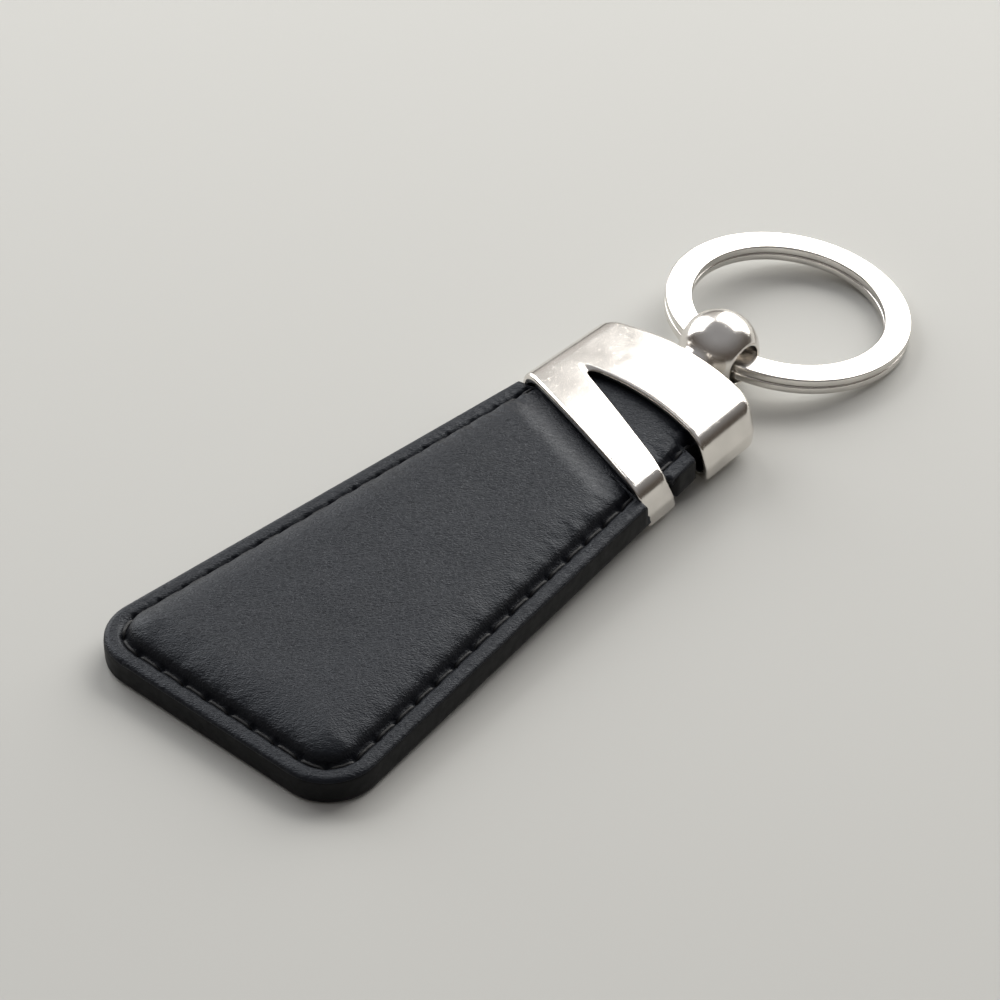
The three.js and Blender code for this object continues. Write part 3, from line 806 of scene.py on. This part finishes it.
def nickel_material(name, tint, smooth, rough):
    material, tree, shader = new_material(name)
    even = stretched(tree, (1000, 1000, 1000))
    haze = texture(tree, even, "ShaderNodeTexNoise", "Fac", Scale=0.3, Detail=4.0)
    waves = texture(tree, even, "ShaderNodeTexNoise", "Fac", Scale=0.35, Detail=1.0)
    pits = texture(tree, even, "ShaderNodeTexNoise", "Fac", Scale=2.2, Detail=4.0, Roughness=0.65)
    pitted = ranged(tree, pits, 0.0, 1.0, 0.62, 0.78)
    scratches = texture(tree, stretched(tree, (300, 5200, 2600)), "ShaderNodeTexNoise", "Fac",
                        Scale=1.0, Detail=3.0)
    fine = ranged(tree, scratches, 0.0, 1.0, 0.35, 0.65)
    worn = tuple(channel * 0.86 for channel in tint)
    colour = ramp(tree, haze, [(0.35, tint), (0.75, worn)])
    tree.links.new(colour, shader.inputs["Base Color"])
    tree.links.new(ranged(tree, haze, smooth, rough, 0.3, 0.7), shader.inputs["Roughness"])
    shader.inputs["Metallic"].default_value = 1.0
    bumps(tree, shader, [(waves, 2.4e-5), (fine, 4e-7), (pitted, -0.8e-5)])
    return material


def steel_material():
    material, tree, shader = new_material("turned steel")
    lines = texture(tree, stretched(tree, (9000, 400, 400)), "ShaderNodeTexNoise", "Fac",
                    Scale=1.0, Detail=2.0)
    colour = ramp(tree, lines, [(0.3, (0.40, 0.39, 0.38)), (0.7, (0.56, 0.55, 0.53))])
    tree.links.new(colour, shader.inputs["Base Color"])
    tree.links.new(ranged(tree, lines, 0.3, 0.45), shader.inputs["Roughness"])
    shader.inputs["Metallic"].default_value = 1.0
    return material


def floor_material():
    material, tree, shader = new_material("pale floor")
    shader.inputs["Base Color"].default_value = (0.60, 0.595, 0.565, 1)
    shader.inputs["Roughness"].default_value = 0.85
    shader.inputs["Specular IOR Level"].default_value = 0.2
    return material


# ---- stage ----------------------------------------------------------------------------------


def camera():
    data = bpy.data.cameras.new("camera")
    data.sensor_width = 36
    data.lens = 180.2
    data.clip_start = 0.05
    data.clip_end = 20
    obj = bpy.data.objects.new("camera", data)
    azimuth, elevation, distance = math.radians(-47.24), math.radians(39.78), 0.5814
    target = Vector((-0.0049, 0.0040, 0.0))
    back = Vector((math.sin(azimuth) * math.cos(elevation),
                   -math.cos(azimuth) * math.cos(elevation), math.sin(elevation)))
    obj.location = target + back * distance
    obj.rotation_mode = "QUATERNION"
    obj.rotation_quaternion = (-back).to_track_quat("-Z", "Y")
    bpy.context.scene.collection.objects.link(obj)
    bpy.context.scene.camera = obj


def area_light(name, direction, distance, width, height, power, colour):
    data = bpy.data.lights.new(name, "AREA")
    data.shape = "RECTANGLE"
    data.size, data.size_y = width, height
    data.energy = power
    data.color = colour
    obj = bpy.data.objects.new(name, data)
    away = Vector(direction).normalized()
    obj.location = away * distance
    obj.rotation_mode = "QUATERNION"
    obj.rotation_quaternion = away.to_track_quat("Z", "Y")
    bpy.context.scene.collection.objects.link(obj)


def surroundings():
    """A dim warm room, a little lighter overhead."""
    world = bpy.data.worlds.new("room")
    world.use_nodes = True
    tree = world.node_tree
    place = add(tree, "ShaderNodeTexCoord")
    split = add(tree, "ShaderNodeSeparateXYZ")
    tree.links.new(place.outputs["Generated"], split.inputs["Vector"])
    shade = ramp(tree, split.outputs["Z"], [(0.0, (0.075, 0.062, 0.052)), (0.3, (0.10, 0.085, 0.073)),
                                            (0.9, (0.32, 0.32, 0.33))])
    tree.links.new(shade, tree.nodes["Background"].inputs["Color"])
    tree.nodes["Background"].inputs["Strength"].default_value = 1.0
    bpy.context.scene.world = world


def stage():
    half = 3.0
    corners = [(-half, -half, 0), (half, -half, 0), (half, half, 0), (-half, half, 0)]
    mesh = bpy.data.meshes.new("floor")
    mesh.from_pydata(corners, [], [(0, 1, 2, 3)])
    floor = bpy.data.objects.new("floor", mesh)
    bpy.context.scene.collection.objects.link(floor)
    floor.data.materials.append(floor_material())
    surroundings()
    area_light("window_right", (0.848, 0.134, 0.512), 0.9, 0.86, 0.86, 10.0, (1.0, 0.99, 0.97))
    area_light("window_left", (0.12, 0.875, 0.47), 0.9, 0.66, 0.80, 5.7, (0.98, 0.99, 1.0))
    area_light("wall_between", (0.48, 0.62, 0.50), 1.3, 0.74, 1.10, 1.1, (1.0, 0.985, 0.96))


# ---- assembly -------------------------------------------------------------------------------


def finish_piece(piece, material, body, slot, *nodes):
    piece.data.materials.clear()
    piece.data.materials.append(material)
    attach(piece, body)
    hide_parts(*nodes)


bpy.context.scene.view_settings.view_transform = "Standard"
camera()
stage()

front_leather = leather_material("front leather", 2.2e-5)
back_leather = leather_material("back leather", 1.4e-5)
cap_nickel = nickel_material("cap nickel", (0.80, 0.765, 0.72), 0.15, 0.24)
ring_nickel = nickel_material("ring nickel", (0.79, 0.76, 0.72), 0.16, 0.26)
thread = thread_material()

front = leather_sheet("padded_front", front_height, 1, UPPER_LEAN,
                      arc_steps=44, pitch=0.26, edge_columns=36, middle_columns=104)
finish_piece(front, front_leather, "fob", "black_leather", "upper_leather", "crown_pad")

back = leather_sheet("leather_back", back_height, -1, LOWER_LEAN,
                     arc_steps=30, pitch=0.45, edge_columns=26, middle_columns=60)
finish_piece(back, back_leather, "fob", "black_leather", "lower_leather")

finish_piece(painted_edge(), paint_material(), "fob", "stiffener_board", "stiffener_board")
finish_piece(stitches("needle_stitches", 1, NEEDLE_LEVEL), thread, "fob", "black_thread",
             "needle_thread")
finish_piece(stitches("bobbin_stitches", -1, BOBBIN_LEVEL), thread, "fob", "black_thread",
             "bobbin_thread")
finish_piece(end_cap(), cap_nickel, "fob", "polished_nickel", "end_cap")
for name, side in [("cap_pin_near", -1), ("cap_pin_far", 1)]:
    finish_piece(cap_pin(name + "_head", side), cap_nickel, "fob", "polished_nickel", name)
finish_piece(ball_link(), cap_nickel, "swivel", "polished_nickel", "ball_link")
finish_piece(split_ring(), ring_nickel, "ring", "ring_nickel", "split_ring")

steel = steel_material()
for node in ("swivel_pin", "swivel_washer"):
    for material_slot in frame["nodes"][node].material_slots:
        material_slot.material = steel
